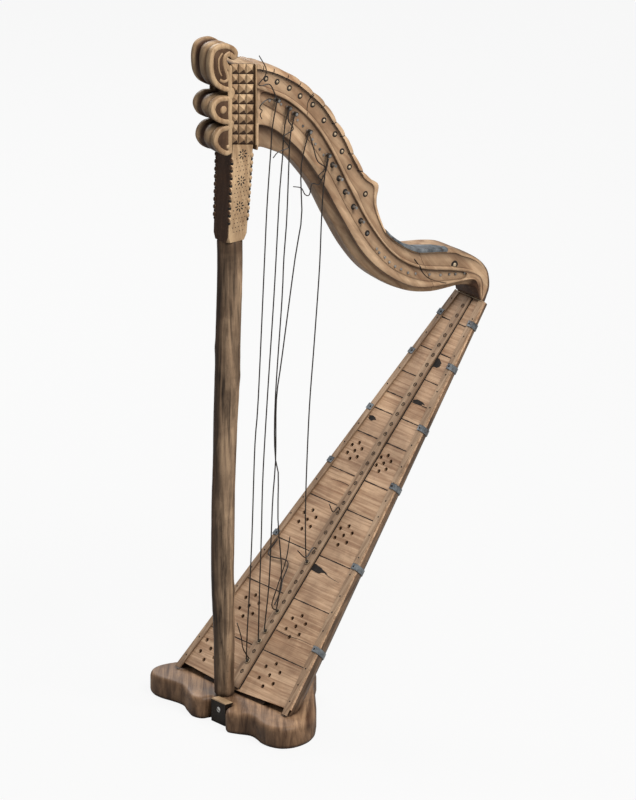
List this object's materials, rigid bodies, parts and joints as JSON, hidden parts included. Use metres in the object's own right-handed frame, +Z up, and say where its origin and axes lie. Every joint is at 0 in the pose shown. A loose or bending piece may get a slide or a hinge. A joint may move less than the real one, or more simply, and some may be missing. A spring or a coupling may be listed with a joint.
{
  "type": "floor harp",
  "caption": "Old floor harp with a lobed foot slab, bowed pillar, carved scroll head, curved neck with tuning pins, and a leaning stave-backed soundbox.",
  "frame": {"origin": "on the floor, on the foot slab's underside, below the line where the soundboard's front meets the slab", "axes": "+Z up; +X from the pillar towards the top of the soundbox; -Y is the side of the neck that the strings are on"},
  "size_m": [0.6973, 0.4417, 1.3996],
  "materials": {
    "slab_wood": "worn, waxed, streaked",
    "block_wood": "worn",
    "pillar_wood": "rough, dark",
    "carved_wood": "carved, rubbed pale",
    "neck_wood": "satin, worn",
    "board_wood": "dry, matt",
    "trim_wood": "satin",
    "back_wood": "satin, dark",
    "inner_wood": "raw",
    "strap_metal": "dull, blue-grey",
    "pin_metal": "forged, dark",
    "peg_wood": "satin",
    "gut": "twisted gut"
  },
  "bodies": {
    "harp_frame": {"base_slab": "slab_wood", "foot_block": "block_wood", "pillar": "pillar_wood", "pillar_capital": "carved_wood", "head_block": "carved_wood", "head_scroll": "carved_wood", "neck": "neck_wood", "neck_end": "neck_wood", "repair_plate": "strap_metal", "strap_1": "strap_metal", "strap_2": "strap_metal", "strap_3": "strap_metal", "strap_4": "strap_metal", "strap_5": "strap_metal", "strap_6": "strap_metal", "soundboard_board_01": "board_wood", "soundboard_board_02": "board_wood", "soundboard_board_03": "board_wood", "soundboard_board_04": "board_wood", "soundboard_board_05": "board_wood", "soundboard_board_06": "board_wood", "soundboard_board_07": "board_wood", "soundboard_board_08": "board_wood", "soundboard_board_09": "board_wood", "soundboard_board_10": "board_wood", "soundboard_board_11": "board_wood", "soundboard_board_12": "board_wood", "string_band": "trim_wood", "edge_batten_far": "trim_wood", "edge_batten_near": "trim_wood", "back_stave_1": "back_wood", "back_stave_2": "back_wood", "back_stave_3": "back_wood", "back_stave_4": "back_wood", "back_stave_5": "back_wood", "centre_brace": "inner_wood", "back_rib_1": "inner_wood", "back_rib_2": "inner_wood", "top_block": "inner_wood", "tail_block": "inner_wood", "string_peg_1": "peg_wood", "string_peg_2": "peg_wood", "string_peg_3": "peg_wood", "string_peg_4": "peg_wood", "string_peg_5": "peg_wood", "string_1": "gut", "string_2": "gut", "string_3": "gut", "string_4": "gut", "string_5": "gut"},
    "pin_01": {"tuning_pin_01": "pin_metal"},
    "pin_02": {"tuning_pin_02": "pin_metal"},
    "pin_03": {"tuning_pin_03": "pin_metal"},
    "pin_04": {"tuning_pin_04": "pin_metal"},
    "pin_05": {"tuning_pin_05": "pin_metal"},
    "pin_06": {"tuning_pin_06": "pin_metal"},
    "pin_07": {"tuning_pin_07": "pin_metal"},
    "pin_08": {"tuning_pin_08": "pin_metal"},
    "pin_09": {"tuning_pin_09": "pin_metal"},
    "pin_10": {"tuning_pin_10": "pin_metal"}
  },
  "joints": [
    {"name": "tuning_pin_01_turn", "type": "hinge", "parent": "harp_frame", "child": "pin_01", "pos_m": [0.091, 0, 1.258], "axis": [0, 1, 0], "continuous": true},
    {"name": "tuning_pin_02_turn", "type": "hinge", "parent": "harp_frame", "child": "pin_02", "pos_m": [0.119, 0, 1.236], "axis": [0, 1, 0], "continuous": true},
    {"name": "tuning_pin_03_turn", "type": "hinge", "parent": "harp_frame", "child": "pin_03", "pos_m": [0.134, 0, 1.221], "axis": [0, 1, 0], "continuous": true},
    {"name": "tuning_pin_04_turn", "type": "hinge", "parent": "harp_frame", "child": "pin_04", "pos_m": [0.169, 0, 1.177], "axis": [0, 1, 0], "continuous": true},
    {"name": "tuning_pin_05_turn", "type": "hinge", "parent": "harp_frame", "child": "pin_05", "pos_m": [0.216, 0, 1.118], "axis": [0, 1, 0], "continuous": true},
    {"name": "tuning_pin_06_turn", "type": "hinge", "parent": "harp_frame", "child": "pin_06", "pos_m": [0.23, 0, 1.094], "axis": [0, 1, 0], "continuous": true},
    {"name": "tuning_pin_07_turn", "type": "hinge", "parent": "harp_frame", "child": "pin_07", "pos_m": [0.246, 0, 1.063], "axis": [0, 1, 0], "continuous": true},
    {"name": "tuning_pin_08_turn", "type": "hinge", "parent": "harp_frame", "child": "pin_08", "pos_m": [0.261, 0, 1.032], "axis": [0, 1, 0], "continuous": true},
    {"name": "tuning_pin_09_turn", "type": "hinge", "parent": "harp_frame", "child": "pin_09", "pos_m": [0.281, 0, 0.997], "axis": [0, 1, 0], "continuous": true},
    {"name": "tuning_pin_10_turn", "type": "hinge", "parent": "harp_frame", "child": "pin_10", "pos_m": [0.299, 0, 0.964], "axis": [0, 1, 0], "continuous": true}
  ]
}
